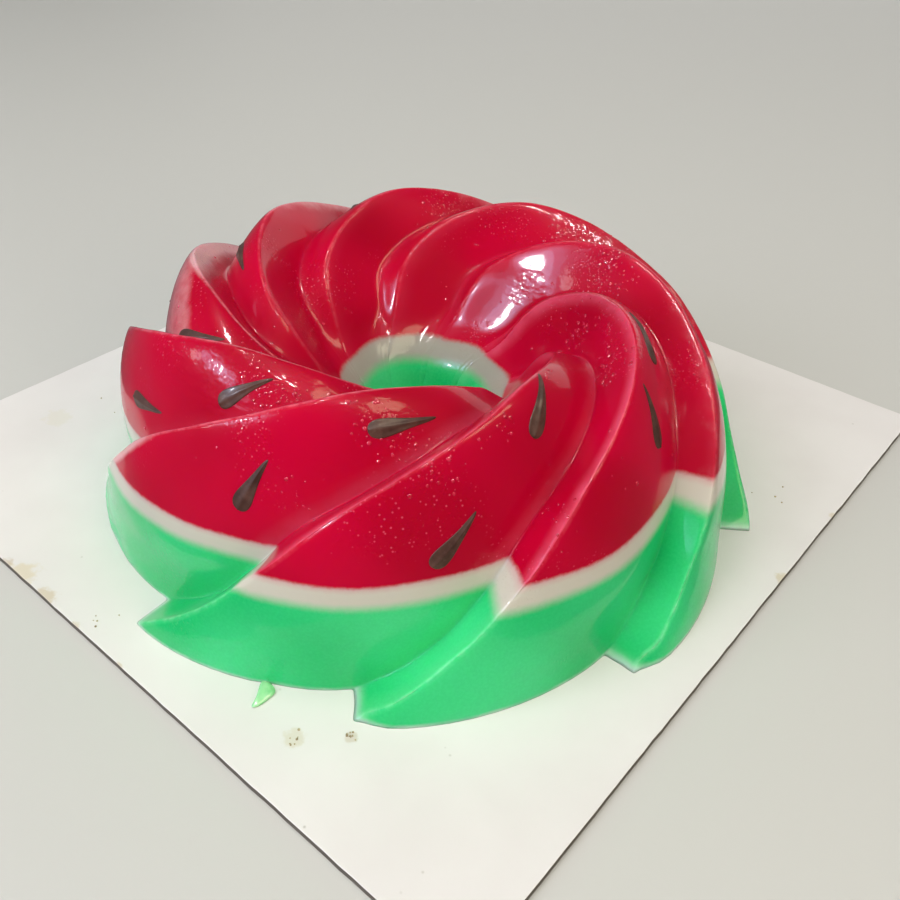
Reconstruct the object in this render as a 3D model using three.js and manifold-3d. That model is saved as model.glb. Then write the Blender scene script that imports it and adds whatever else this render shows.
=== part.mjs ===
// A moulded jelly ring with nine swept blades, set in three layers like a slice of
// watermelon, with chocolate seeds in its red top, on its square white cake board.
// Millimetres, +Z up, origin in the middle of the board's underside.

import * as THREE from 'three';
import Module from 'manifold-3d';

const wasm = await Module();
wasm.setup();

// Cake board
const BOARD_SIDE = 300;
const BOARD_THICKNESS = 2.5;
const BOARD_CORNER = 1.5;

// Layers, as heights above the table
const GREEN_TOP = 36.75;
const WHITE_TOP = 44.75;
const ABOVE_JELLY = 100;

// Ring of blades
const BLADES = 9;
const PITCH = 360 / BLADES;
const FIRST_CREST = -97.2; // direction of the first blade's crest, degrees
const RING_RADIUS = 75; // to the middle of the ring's section, at the board
const RING_CENTRE = { x: 16.3, y: -13 };
const LEAN = { x: -0.035, y: -0.02875 }; // sideways slip of the soft jelly per millimetre of height

// The section goes from its outer foot (0 degrees) over the top (90) to the foot of the
// hole (180). reach runs from the section's middle to the crest, turn is how far the
// crest has swept round the ring, groove is the depth of the valley behind the crest, and
// valley is its place between this crest (0) and the next (1). fall and rise are the
// powers that shape the faces on its two sides: 1 is straight, more bulges first.
const STATIONS = [
  { at: 0, reach: 49.3, turn: 1, groove: 12.8, valley: 0.965, fall: 1.3, rise: 1 },
  { at: 15, reach: 46, turn: 9.3, groove: 12.2, valley: 0.955, fall: 1.6, rise: 1 },
  { at: 30, reach: 47.4, turn: 16.3, groove: 12.6, valley: 0.93, fall: 1.85, rise: 1.05 },
  { at: 50, reach: 56.6, turn: 26.5, groove: 14, valley: 0.86, fall: 1.75, rise: 1.1 },
  { at: 70, reach: 70.6, turn: 42.3, groove: 15, valley: 0.75, fall: 1.45, rise: 1.1 },
  { at: 90, reach: 83, turn: 75, groove: 13.5, valley: 0.58, fall: 1.25, rise: 1.15 },
  { at: 110, reach: 73, turn: 111.5, groove: 9, valley: 0.33, fall: 1.15, rise: 1.3 },
  { at: 130, reach: 62.6, turn: 127.5, groove: 4.5, valley: 0.16, fall: 1.1, rise: 1.5 },
  { at: 150, reach: 63, turn: 147, groove: 2, valley: 0.11, fall: 1.1, rise: 1.6 },
  { at: 180, reach: 58, turn: 165, groove: 1, valley: 0.1, fall: 1, rise: 1.6 },
];
const CREST_ROUNDING = 0.03; // share of a face that its rounded crest takes

// Unevenness of the blades. CREST_SHIFT is extra turn of each crest in degrees, and
// FOOT_REACH scales its foot. Inside the top, from INSIDE.from to INSIDE.to round the
// section, a crest also turns by INSIDE_SHIFT degrees and reaches INSIDE_REACH further.
const CREST_SHIFT = [-0.7, -2, -0.3, -0.2, 1.4, 3, -0.4, 1, 0];
const FOOT_REACH = [1, 1, 1, 1, 1, 0.985, 0.965, 0.965, 0.98];
const INSIDE = { from: 74, to: 106 };
const INSIDE_SHIFT = [-1.5, 0, 0, 0, 0, 0, 0, 0, -0.6];
const INSIDE_REACH = [-1.2, 1.2, 0, 0, 0, 0, -4.5, 0, -0.6];

// Fineness of the solid
const ROWS = 26;
const FACE_STEPS = 5; // on each of a blade's two faces
const STEP_GROWTH = 1.4;

// Chocolate seeds
const SEED_WIDTH = 5.8;
const SEED_THICKNESS = 3;
const SEED_SIDES = 8;
const SEED_RINGS = 7;
const SEED_POINTEDNESS = 5;
const SEED_TAIL = 0.2; // thickness of the pulled-out point, as a share of an even oval's
const SEED_SINK = 0.95; // from the jelly's face to the seed's middle
const SEED_GAP = 0.3;

// Each blade holds two seeds: degrees up the section, share of the way to the next
// crest, heading of the point in degrees from straight up the blade, and length
const SEEDS = [
  { blade: 0, up: 64, across: 0.5, heading: -11, length: 19.8 },
  { blade: 0, up: 86.6, across: 0.21, heading: -30, length: 21.5 },
  { blade: 1, up: 74.3, across: 0.29, heading: -53, length: 20.6 },
  { blade: 1, up: 86, across: 0.19, heading: -20, length: 21 },
  { blade: 2, up: 67, across: 0.46, heading: -22, length: 19.5 },
  { blade: 2, up: 88.5, across: 0.33, heading: -12, length: 20.5 },
  { blade: 3, up: 69, across: 0.52, heading: -35, length: 19.5 },
  { blade: 3, up: 86, across: 0.36, heading: 4, length: 20 },
  { blade: 4, up: 66, across: 0.44, heading: -8, length: 20 },
  { blade: 4, up: 89, across: 0.3, heading: -26, length: 19.5 },
  { blade: 5, up: 70.5, across: 0.5, heading: -30, length: 19.5 },
  { blade: 5, up: 92, across: 0.35, heading: -10, length: 20 },
  { blade: 6, up: 72, across: 0.5, heading: -4, length: 19.5 },
  { blade: 6, up: 90, across: 0.5, heading: -25, length: 20 },
  { blade: 7, up: 69.3, across: 0.55, heading: 14, length: 19.5 },
  { blade: 7, up: 88.1, across: 0.41, heading: -28, length: 18.5 },
  { blade: 8, up: 70, across: 0.46, heading: -39, length: 18.6 },
  { blade: 8, up: 88.9, across: 0.36, heading: 6, length: 21 },
];

const BOARD_WHITE = new THREE.MeshStandardMaterial({ color: 0xe9e8e0, roughness: 0.45, metalness: 0 });
const GREEN = new THREE.MeshStandardMaterial({ color: 0x4fd083, roughness: 0.18, metalness: 0 });
const WHITE = new THREE.MeshStandardMaterial({ color: 0xd0cdbd, roughness: 0.2, metalness: 0 });
const RED = new THREE.MeshStandardMaterial({ color: 0xbe0a30, roughness: 0.12, metalness: 0 });
const CHOCOLATE = new THREE.MeshStandardMaterial({ color: 0x4a3a35, roughness: 0.4, metalness: 0 });

const radians = THREE.MathUtils.degToRad;
const clamp = THREE.MathUtils.clamp;
const mix = THREE.MathUtils.lerp;

// Smooth curve through one of the stations' values, with each slope taken between neighbours
function stationValue(name, up) {
  const last = STATIONS.length - 2;
  const passed = STATIONS.findLastIndex((station) => station.at < up);
  const i = clamp(passed, 0, last);
  const start = STATIONS[i];
  const end = STATIONS[i + 1];
  const before = STATIONS[Math.max(i - 1, 0)];
  const after = STATIONS[Math.min(i + 2, last + 1)];
  const span = end.at - start.at;
  const s = (up - start.at) / span;
  const slopeIn = ((end[name] - before[name]) / (end.at - before.at)) * span;
  const slopeOut = ((after[name] - start[name]) / (after.at - start.at)) * span;
  const blend = s * s * (3 - 2 * s);
  const bend = s * (1 - s);
  return mix(start[name], end[name], blend) + bend * ((1 - s) * slopeIn - s * slopeOut);
}

// Share of the groove's depth reached at a share of the way down a face
function faceFall(share, power) {
  const soft = (value) => Math.hypot(value, CREST_ROUNDING) - CREST_ROUNDING;
  return (soft(share) / soft(1)) ** power;
}

function grooveShare(across, valley, up) {
  if (across < valley) return faceFall(across / valley, stationValue('fall', up));
  return faceFall((1 - across) / (1 - valley), stationValue('rise', up));
}

// Point of the jelly's surface, across a blade from its crest (0) to the next crest (1)
function jellyPoint(blade, across, up) {
  const next = (blade + 1) % BLADES;
  const between = (values) => mix(values[blade], values[next], across);
  const inside = THREE.MathUtils.smoothstep(up, INSIDE.from, INSIDE.to);
  const depth = stationValue('groove', up) * grooveShare(across, stationValue('valley', up), up);
  const reach = stationValue('reach', up) - depth + inside * between(INSIDE_REACH);
  const shift = between(CREST_SHIFT) + inside * between(INSIDE_SHIFT);
  const turn = radians(FIRST_CREST + PITCH * (blade + across) + stationValue('turn', up) + shift);
  const outside = Math.max(0, Math.cos(radians(up)));
  const foot = 1 + 2 * (between(FOOT_REACH) - 1) * outside;
  const radius = RING_RADIUS + reach * Math.cos(radians(up)) * foot;
  const height = reach * Math.sin(radians(up));
  return new THREE.Vector3(
    RING_CENTRE.x + LEAN.x * height + radius * Math.cos(turn),
    RING_CENTRE.y + LEAN.y * height + radius * Math.sin(turn),
    BOARD_THICKNESS + height,
  );
}

// Columns of a row: down the blade's long face to the valley, then up to the next crest
function columnsAcross(valley) {
  const down = [];
  const rise = [];
  for (let step = 0; step < FACE_STEPS; step += 1) {
    down.push(valley * (step / FACE_STEPS) ** STEP_GROWTH);
    rise.push(1 - (1 - valley) * (1 - step / FACE_STEPS) ** STEP_GROWTH);
  }
  return [...down, ...rise];
}

// Corners of the ring, row by row from the outer foot to the foot of the hole
function ringCorners() {
  const corners = [];
  for (let row = 0; row <= ROWS; row += 1) {
    const up = (180 * row) / ROWS;
    const columns = columnsAcross(stationValue('valley', up));
    for (let blade = 0; blade < BLADES; blade += 1) {
      for (const across of columns) {
        const corner = jellyPoint(blade, across, up);
        if (row === 0 || row === ROWS) corner.z = BOARD_THICKNESS;
        corners.push(corner);
      }
    }
  }
  return corners;
}

// Triangles of the swept surface, and of the flat base between the two feet. The inner
// foot is met by the outer foot that lies beside it, not by the one it is swept from.
function ringTriangles() {
  const around = BLADES * 2 * FACE_STEPS;
  const sweep = stationValue('turn', 180) - stationValue('turn', 0);
  const baseShift = Math.round(sweep / PITCH) * 2 * FACE_STEPS;
  const triangles = [];
  const quad = (a, b, c, d) => triangles.push(a, b, c, a, c, d);
  for (let column = 0; column < around; column += 1) {
    const beside = (column + 1) % around;
    for (let row = 0; row < ROWS; row += 1) {
      const low = row * around;
      const high = low + around;
      quad(low + column, low + beside, high + beside, high + column);
    }
    const inner = ROWS * around + ((column - baseShift + around) % around);
    const innerBeside = ROWS * around + ((beside - baseShift + around) % around);
    quad(beside, column, inner, innerBeside);
  }
  return triangles;
}

function solidFrom(geometry) {
  const vertProperties = new Float32Array(geometry.attributes.position.array);
  const triVerts = new Uint32Array(geometry.index.array);
  return new wasm.Manifold(new wasm.Mesh({ numProp: 3, vertProperties, triVerts }));
}

function geometryFrom(solid) {
  const { vertProperties, triVerts } = solid.getMesh();
  const geometry = new THREE.BufferGeometry();
  geometry.setAttribute('position', new THREE.BufferAttribute(vertProperties, 3));
  geometry.setIndex(new THREE.BufferAttribute(triVerts, 1));
  geometry.computeVertexNormals();
  return geometry;
}

function ringSolid() {
  const geometry = new THREE.BufferGeometry().setFromPoints(ringCorners());
  geometry.setIndex(ringTriangles());
  return solidFrom(geometry);
}

// Box over the whole board between two heights, with corners shared by its sides
function slabSolid(bottom, top) {
  const half = BOARD_SIDE / 2;
  const corners = [];
  for (const z of [bottom, top]) {
    for (const [x, y] of [[-half, -half], [half, -half], [half, half], [-half, half]]) {
      corners.push(new THREE.Vector3(x, y, z));
    }
  }
  const geometry = new THREE.BufferGeometry().setFromPoints(corners);
  const sides = [0, 1, 2, 3].flatMap((side) => {
    const next = (side + 1) % 4;
    return [side, next, next + 4, side, next + 4, side + 4];
  });
  geometry.setIndex([0, 2, 1, 0, 3, 2, 4, 5, 6, 4, 6, 7, ...sides]);
  return solidFrom(geometry);
}

// Half-width of a teardrop at an angle round it from its point, not yet scaled
function seedGirth(angle) {
  return Math.sin(angle) * mix(SEED_TAIL, 1, Math.sin(angle / 2) ** SEED_POINTEDNESS);
}

// Teardrop along X with its point ahead, grown on every side by a clearance
function seedGeometry(length, clearance) {
  const corners = [];
  const halfLength = length / 2 + clearance;
  const halfWidth = SEED_WIDTH / 2 + clearance;
  const halfThickness = SEED_THICKNESS / 2 + clearance;
  const angles = Array.from({ length: SEED_RINGS }, (_, ring) => (Math.PI * (ring + 1)) / (SEED_RINGS + 1));
  const widest = Math.max(...angles.map(seedGirth));
  corners.push(new THREE.Vector3(halfLength, 0, 0));
  for (const angle of angles) {
    const size = seedGirth(angle) / widest;
    for (let side = 0; side < SEED_SIDES; side += 1) {
      const round = (2 * Math.PI * side) / SEED_SIDES;
      corners.push(new THREE.Vector3(
        halfLength * Math.cos(angle),
        halfWidth * size * Math.cos(round),
        halfThickness * size * Math.sin(round),
      ));
    }
  }
  corners.push(new THREE.Vector3(-halfLength, 0, 0));
  const geometry = new THREE.BufferGeometry().setFromPoints(corners);
  geometry.setIndex(seedTriangles());
  geometry.computeVertexNormals();
  return geometry;
}

function seedTriangles() {
  const triangles = [];
  const tail = 1 + SEED_RINGS * SEED_SIDES;
  const lastRing = tail - SEED_SIDES;
  for (let side = 0; side < SEED_SIDES; side += 1) {
    const beside = (side + 1) % SEED_SIDES;
    triangles.push(0, 1 + side, 1 + beside);
    for (let ring = 0; ring < SEED_RINGS - 1; ring += 1) {
      const front = 1 + ring * SEED_SIDES;
      const back = front + SEED_SIDES;
      triangles.push(front + side, back + side, back + beside);
      triangles.push(front + side, back + beside, front + beside);
    }
    triangles.push(tail, lastRing + beside, lastRing + side);
  }
  return triangles;
}

// Stands an object on the jelly's face, with its X ahead and its Z out of the face
function placeOnFace(object, { blade, up, across, heading }) {
  const nudge = 0.5;
  const share = 0.01;
  const middle = jellyPoint(blade, across, up);
  const ahead = jellyPoint(blade, across, up + nudge).sub(jellyPoint(blade, across, up - nudge)).normalize();
  const beside = jellyPoint(blade, across + share, up).sub(jellyPoint(blade, across - share, up));
  const outward = beside.clone().cross(ahead).normalize();
  const right = ahead.clone().cross(outward);
  const turn = radians(heading);
  const front = ahead.multiplyScalar(Math.cos(turn)).addScaledVector(right, Math.sin(turn));
  const left = outward.clone().cross(front);
  object.quaternion.setFromRotationMatrix(new THREE.Matrix4().makeBasis(front, left, outward));
  object.position.copy(middle).addScaledVector(outward, -SEED_SINK);
  object.updateMatrix();
}

function makeSeed(seed, index) {
  const mesh = new THREE.Mesh(seedGeometry(seed.length, 0), CHOCOLATE);
  mesh.name = `seed_${String(index + 1).padStart(2, '0')}`;
  placeOnFace(mesh, seed);
  return mesh;
}

function seedPocket(seed) {
  const pocket = new THREE.Mesh(seedGeometry(seed.length, SEED_GAP), CHOCOLATE);
  placeOnFace(pocket, seed);
  return solidFrom(pocket.geometry.applyMatrix4(pocket.matrix));
}

function makeLayer(name, ring, bottom, top, material) {
  const layer = ring.intersect(slabSolid(bottom, top));
  const mesh = new THREE.Mesh(geometryFrom(layer), material);
  mesh.name = name;
  return mesh;
}

function makeBoard() {
  const half = BOARD_SIDE / 2;
  const inset = half - BOARD_CORNER;
  const outline = new THREE.Shape();
  outline.absarc(inset, inset, BOARD_CORNER, 0, Math.PI / 2);
  outline.absarc(-inset, inset, BOARD_CORNER, Math.PI / 2, Math.PI);
  outline.absarc(-inset, -inset, BOARD_CORNER, Math.PI, 1.5 * Math.PI);
  outline.absarc(inset, -inset, BOARD_CORNER, 1.5 * Math.PI, 2 * Math.PI);
  outline.closePath();
  const geometry = new THREE.ExtrudeGeometry(outline, {
    depth: BOARD_THICKNESS, bevelEnabled: false, curveSegments: 3,
  });
  const mesh = new THREE.Mesh(geometry, BOARD_WHITE);
  mesh.name = 'cake_board';
  return mesh;
}

function makeJelly() {
  const ring = ringSolid();
  const pocketed = SEEDS.reduce((solid, seed) => solid.subtract(seedPocket(seed)), ring);
  return [
    makeLayer('jelly_green', ring, 0, GREEN_TOP, GREEN),
    makeLayer('jelly_white', ring, GREEN_TOP, WHITE_TOP, WHITE),
    makeLayer('jelly_red', pocketed, WHITE_TOP, ABOVE_JELLY, RED),
  ];
}

const part = new THREE.Group();
part.add(makeBoard(), ...makeJelly(), ...SEEDS.map(makeSeed));

export default part;
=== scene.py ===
"""The looks of a moulded jelly ring in a watermelon's colours, on its square white cake board.

The jelly's surface is worked out from the same named sizes as its solids, in millimetres,
and turned into metres where meshes are made. A place on the jelly is given as on the mould:
the blade, the degrees up and over its section, and the share of the way to the next crest.
"""

import math
import random

import bpy
import numpy as np
from mathutils import Matrix, Vector
from mathutils.bvhtree import BVHTree


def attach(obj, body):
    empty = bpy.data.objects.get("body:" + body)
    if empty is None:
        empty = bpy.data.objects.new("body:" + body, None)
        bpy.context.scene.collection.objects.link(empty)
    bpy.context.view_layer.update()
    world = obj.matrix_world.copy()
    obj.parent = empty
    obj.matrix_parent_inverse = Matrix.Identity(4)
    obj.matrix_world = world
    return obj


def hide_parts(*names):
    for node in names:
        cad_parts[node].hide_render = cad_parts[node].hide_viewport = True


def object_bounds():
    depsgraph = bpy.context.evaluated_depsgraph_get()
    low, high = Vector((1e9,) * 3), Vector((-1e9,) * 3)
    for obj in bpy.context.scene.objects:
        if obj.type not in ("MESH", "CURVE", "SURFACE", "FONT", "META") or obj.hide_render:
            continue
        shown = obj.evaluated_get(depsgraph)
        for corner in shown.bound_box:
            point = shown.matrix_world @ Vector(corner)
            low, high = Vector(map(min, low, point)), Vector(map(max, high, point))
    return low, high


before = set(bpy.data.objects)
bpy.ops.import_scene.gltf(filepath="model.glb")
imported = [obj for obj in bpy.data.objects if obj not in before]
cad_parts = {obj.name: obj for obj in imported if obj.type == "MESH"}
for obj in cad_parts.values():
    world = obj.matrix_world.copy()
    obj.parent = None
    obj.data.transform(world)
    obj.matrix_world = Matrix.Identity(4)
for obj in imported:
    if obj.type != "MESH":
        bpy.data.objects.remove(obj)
cad_low, cad_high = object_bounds()

MM = 0.001
JELLY_TOP = cad_high[2] / MM

# Cake board and layers: heights above the table
BOARD_SIDE = 300.0
BOARD_THICKNESS = 2.5
BOARD_CORNER = 1.5
GREEN_TOP = 36.75
WHITE_TOP = 44.75

# Ring of blades, as in the solids
BLADES = 9
PITCH = 360.0 / BLADES
FIRST_CREST = -97.2
RING_RADIUS = 75.0
RING_CENTRE = np.array([16.3, -13.0])
LEAN = np.array([-0.035, -0.02875])

# place round the section in degrees, then reach, turn, groove, valley, fall and rise there
STATIONS = np.array([
    [0, 49.3, 1.0, 12.8, 0.965, 1.3, 1.0],
    [15, 46.0, 9.3, 12.2, 0.955, 1.6, 1.0],
    [30, 47.4, 16.3, 12.6, 0.93, 1.85, 1.05],
    [50, 56.6, 26.5, 14.0, 0.86, 1.75, 1.1],
    [70, 70.6, 42.3, 15.0, 0.75, 1.45, 1.1],
    [90, 83.0, 75.0, 13.5, 0.58, 1.25, 1.15],
    [110, 73.0, 111.5, 9.0, 0.33, 1.15, 1.3],
    [130, 62.6, 127.5, 4.5, 0.16, 1.1, 1.5],
    [150, 63.0, 147.0, 2.0, 0.11, 1.1, 1.6],
    [180, 58.0, 165.0, 1.0, 0.10, 1.0, 1.6],
])
TURN_COLUMN = 1
VALLEY_COLUMN = 3

# Rounding of the crests, and each blade's own shift, reach at the foot and form in the hole
CREST_ROUNDING = 0.03
CREST_SHIFT = np.array([-0.7, -2.0, -0.3, -0.2, 1.4, 3.0, -0.4, 1.0, 0.0])
FOOT_REACH = np.array([1.0, 1.0, 1.0, 1.0, 1.0, 0.985, 0.965, 0.965, 0.98])
INSIDE_FROM = 74.0
INSIDE_TO = 106.0
INSIDE_SHIFT = np.array([-1.5, 0, 0, 0, 0, 0, 0, 0, -0.6])
INSIDE_REACH = np.array([-1.2, 1.2, 0, 0, 0, 0, -4.5, 0, -0.6])

# Fineness of the shown surface
ROWS = 240
FACE_STEPS = 18
FINE_SHARE = 6  # finer steps, between two shown ones, that the rounding is worked out on
CREST_SOFTNESS = 0.55  # rounding of the crests and valleys outside, and lower down in the hole
VALLEY_SOFTNESS = 0.9
HOLE_CREST_SOFTNESS = 1.3
HOLE_VALLEY_SOFTNESS = 2.2
DEEP_SOFTNESS = 4.5  # further rounding down in the hole, where the blades fade out
ROUNDING_SAMPLES = np.linspace(-2.2, 2.2, 13)  # places along a row, in shares of its softness
SWELL_HEIGHT = 0.16
SWELL_LENGTH = 26.0
SWELL_CLEAR = 6.0  # height above the board where the swells are at full height
NICK_HEIGHT = 0.2  # unevenness along the crests, where the mould's edge left it
NICK_LENGTH = 2.8
SHARP_REACH = 0.7  # distance over which a point counts as on a crest's very edge
THIN_DEPTH = 5.0  # depth of jelly over which its colour fills in
THIN_RAYS = 12
THIN_START = 0.15  # depth below the skin where the rays start

# Places up the section between which a change comes in, in degrees
HOLE_ROUNDING = (88, 125)
DEEP_ROUNDING = (122, 140)
HOLE_COLOURS = (100, 145)
SKIN_BEGINS = (12, 34)
SHOULDER_BEGINS = (62, 78)
SHOULDER_ENDS = (87, 91.5)

# Each blade's share of painted reflection, of the pale room, in the band down the steep face
# beside its crest and in the band up the long face beside its valley; then of paler skin, partly
# a thin skin and partly painted sheen, at its crest's outer end and on the outer shoulder of its
# long face
CREST_REFLECTION = np.array([0.6, 0.8, 0.16, 0.12, 0.1, 0.12, 0.18, 0.3, 0.42])
VALLEY_REFLECTION = np.array([0.4, 0.3, 0.12, 0.1, 0.08, 0.1, 0.12, 0.2, 0.4])
THIN_SKIN_AND_SHEEN = np.array([0.1, 0.1, 0.2, 0.2, 0.3, 0.4, 1.0, 0.8, 0.8])
SKIN_ENDS = np.array([80, 80, 92, 92, 92, 94, 97, 76, 72])  # place up the crest where it ends
SKIN_FADE = 14.0  # degrees over which it fades out there
SHOULDER_SKIN_AND_SHEEN = np.array([0, 0, 0, 0, 0, 0.15, 0.4, 0.1, 0])
REFLECTION_START = 1.0  # distance from a crest or a valley where its painted reflection starts to fade, and ends
REFLECTION_REACH = 7.5
HIGHLIGHT_REACH = 1.3  # half the width of the painted highlight line along a crest
HIGHLIGHT_PALE = 0.2  # paleness of that painted highlight line where the crest's skin isn't thin
SKIN_REACH = 3.2  # how far the pale skin, thin skin with painted sheen, reaches down the long face, and down the steep one
STEEP_SKIN_REACH = 15.0

# Small dents in the jelly: place on the table, height, size and depth
DENTS = [
    ((-51.0, -112.7), 6.0, 4.0, 1.4),
    ((-34.7, -119.6), 5.0, 4.5, 1.6),
    ((80.0, -114.0), 3.0, 6.5, 4.6),
    ((56.0, -127.0), 4.0, 5.0, 1.8),
    ((132.5, -46.0), 3.0, 6.5, 4.2),
    ((-96.0, 34.0), 5.0, 5.0, 1.5),
    ((38.0, 104.0), 6.0, 5.0, 1.4),
]

# Wet, finely rippled spots on the red: place, and size
WET_SPOTS = [
    ((5, -90, 79), 16),
    ((29, -77, 75), 7),
    ((57, -83, 76), 13),
    ((27, 35, 65), 9),
    ((28, 70, 77), 14),
]
WET_CORE = 0.55  # share of a spot's size that is wet all over

# Camera: place, heading, degrees down, roll in radians, and lens and sensor in millimetres
CAMERA_PLACE = Vector((207.34, -226.56, 226.62 + BOARD_THICKNESS)) * MM
CAMERA_HEADING = Vector((-0.6422, 0.7665, 0.0)).normalized()
CAMERA_PITCH = math.radians(37.39)
CAMERA_ROLL = 0.01991739
CAMERA_LENS = 36.958
SENSOR_WIDTH = 36.0


def stations_at(up):
    """Reach, turn, groove, valley, fall and rise at a place round the section."""
    at = STATIONS[:, 0]
    i = int(np.clip(np.searchsorted(at, up) - 1, 0, len(at) - 2))
    before = max(i - 1, 0)
    after = min(i + 2, len(at) - 1)
    start = STATIONS[i, 1:]
    end = STATIONS[i + 1, 1:]
    span = at[i + 1] - at[i]
    s = (up - at[i]) / span
    slope_in = (end - STATIONS[before, 1:]) / (at[i + 1] - at[before]) * span
    slope_out = (STATIONS[after, 1:] - start) / (at[after] - at[i]) * span
    blend = s * s * (3 - 2 * s)
    return start + (end - start) * blend + s * (1 - s) * ((1 - s) * slope_in - s * slope_out)


def face_fall(share, power):
    """Share of the groove's depth reached at a share of the way down a face."""
    def soft(value):
        return np.hypot(value, CREST_ROUNDING) - CREST_ROUNDING

    return (soft(np.clip(share, 0, 1)) / soft(1.0)) ** power


def smooth_step(value, low, high):
    """Eases from 0 at low to 1 at high."""
    s = np.clip((value - low) / (high - low), 0, 1)
    return s * s * (3 - 2 * s)


def jelly_points(blade, across, up):
    """Points across a blade, from its crest (0) to the next (1), at a place round the section."""
    def between(values):
        return values[blade] * (1 - across) + values[(blade + 1) % BLADES] * across

    reach, turn, groove, valley, fall, rise = stations_at(up)
    down = face_fall(across / valley, fall)
    back = face_fall((1 - across) / (1 - valley), rise)
    inside = smooth_step(up, INSIDE_FROM, INSIDE_TO)
    reach = reach - groove * np.where(across < valley, down, back) + inside * between(INSIDE_REACH)
    shift = between(CREST_SHIFT) + inside * between(INSIDE_SHIFT)
    angle = np.radians(FIRST_CREST + PITCH * (blade + across) + turn + shift)
    cosine = math.cos(math.radians(up))
    foot = 1 + 2 * (between(FOOT_REACH) - 1) * max(0.0, cosine)
    radius = RING_RADIUS + reach * cosine * foot
    height = reach * math.sin(math.radians(up))
    x = RING_CENTRE[0] + LEAN[0] * height + radius * np.cos(angle)
    y = RING_CENTRE[1] + LEAN[1] * height + radius * np.sin(angle)
    return np.stack([x, y, BOARD_THICKNESS + height], axis=-1)


def spread_across(valley, steps):
    """Places across a blade, closer together at its crest, its valley and the next crest."""
    ease = (1 - np.cos(np.pi * np.arange(steps) / steps)) / 2
    return np.concatenate([valley * ease, valley + (1 - valley) * ease])


def closed_lengths(points):
    """Lengths along a closed row of points, ending with its whole length."""
    steps = np.linalg.norm(np.roll(points, -1, axis=0) - points, axis=1)
    return np.concatenate([[0.0], np.cumsum(steps)])


def row_edges(lengths, up):
    """How sharp a row's shown points are, and their shares of painted highlight line, painted
    reflection strip and pale skin with painted sheen, from 0 to 1.
    """
    half = FACE_STEPS * FINE_SHARE
    marks = lengths[::half]
    face = np.arange(BLADES * 2 * FACE_STEPS) // FACE_STEPS
    at = lengths[:-1][::FINE_SHARE]
    behind = at - marks[face]
    ahead = marks[face + 1] - at
    long_face = face % 2 == 0
    valley_blade = face // 2
    crest_blade = (face + 1) // 2 % BLADES
    crest_gap = np.where(long_face, behind, ahead)
    # painted reflection of the pale room: strips beside the valley on the long face and beside the
    # crest on the steep face
    painted_reflection = np.where(long_face, VALLEY_REFLECTION[valley_blade], CREST_REFLECTION[crest_blade])
    painted_reflection = painted_reflection * (1 - smooth_step(ahead, REFLECTION_START, REFLECTION_REACH))
    # pale skin at the crest's outer end and on the long face's outer shoulder: partly a thin skin,
    # partly painted sheen
    outside = smooth_step(up, *SKIN_BEGINS) * smooth_step(SKIN_ENDS[crest_blade] - up, 0, SKIN_FADE)
    skin_reach = np.where(long_face, SKIN_REACH, STEEP_SKIN_REACH)
    skin = np.exp(-(crest_gap / skin_reach) ** 2) * THIN_SKIN_AND_SHEEN[crest_blade] * outside
    shoulder = np.where(long_face, SHOULDER_SKIN_AND_SHEEN[valley_blade], 0)
    shoulder = shoulder * smooth_step(up, *SHOULDER_BEGINS) * (1 - smooth_step(up, *SHOULDER_ENDS))
    sharp = np.clip(1 - crest_gap / SHARP_REACH, 0, 1)
    # painted highlight line along the crest, paler where the crest's skin is thin
    pale = HIGHLIGHT_PALE + (1 - HIGHLIGHT_PALE) * THIN_SKIN_AND_SHEEN[crest_blade]
    edge = np.clip(1 - crest_gap / HIGHLIGHT_REACH, 0, 1) * pale
    return sharp, edge, painted_reflection, np.maximum(skin, shoulder)


def rounded_row(up):
    """One row round the whole ring, its crests and valleys rounded as the mould's are."""
    fine_across = spread_across(stations_at(up)[VALLEY_COLUMN], FACE_STEPS * FINE_SHARE)
    fine = np.concatenate([jelly_points(blade, fine_across, up) for blade in range(BLADES)])
    lengths = closed_lengths(fine)
    looped = np.concatenate([fine, fine[:1]])
    kept = lengths[:-1][::FINE_SHARE]
    phase = np.tile(np.arange(2 * FACE_STEPS) / FACE_STEPS, BLADES)
    nearness = (1 - np.cos(np.pi * phase)) / 2
    inside = smooth_step(up, *HOLE_ROUNDING)
    crest_softness = CREST_SOFTNESS + (HOLE_CREST_SOFTNESS - CREST_SOFTNESS) * inside
    valley_softness = VALLEY_SOFTNESS + (HOLE_VALLEY_SOFTNESS - VALLEY_SOFTNESS) * inside
    softness = crest_softness * (1 - nearness) + valley_softness * nearness
    softness += DEEP_SOFTNESS * smooth_step(up, *DEEP_ROUNDING)
    row = np.zeros((len(kept), 3))
    weights = 0.0
    for offset in ROUNDING_SAMPLES:
        weight = math.exp(-offset * offset / 2)
        place = np.mod(kept + offset * softness, lengths[-1])
        for axis in range(3):
            row[:, axis] += weight * np.interp(place, lengths, looped[:, axis])
        weights += weight
    hole = np.full(len(row), smooth_step(up, *HOLE_COLOURS))
    return row / weights, *row_edges(lengths, up), hole


def swell(points, length, waves, seed):
    """Unevenness of a soft surface, between about -1 and 1, from a few seeded waves."""
    draw = np.random.default_rng(seed)
    total = np.zeros(len(points))
    for _ in range(waves):
        direction = draw.normal(size=3)
        direction /= np.linalg.norm(direction)
        wave = length * draw.uniform(0.6, 1.8)
        total += np.sin(points @ direction * 2 * np.pi / wave + draw.uniform(0, 2 * np.pi))
    return total / math.sqrt(waves)


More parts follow.
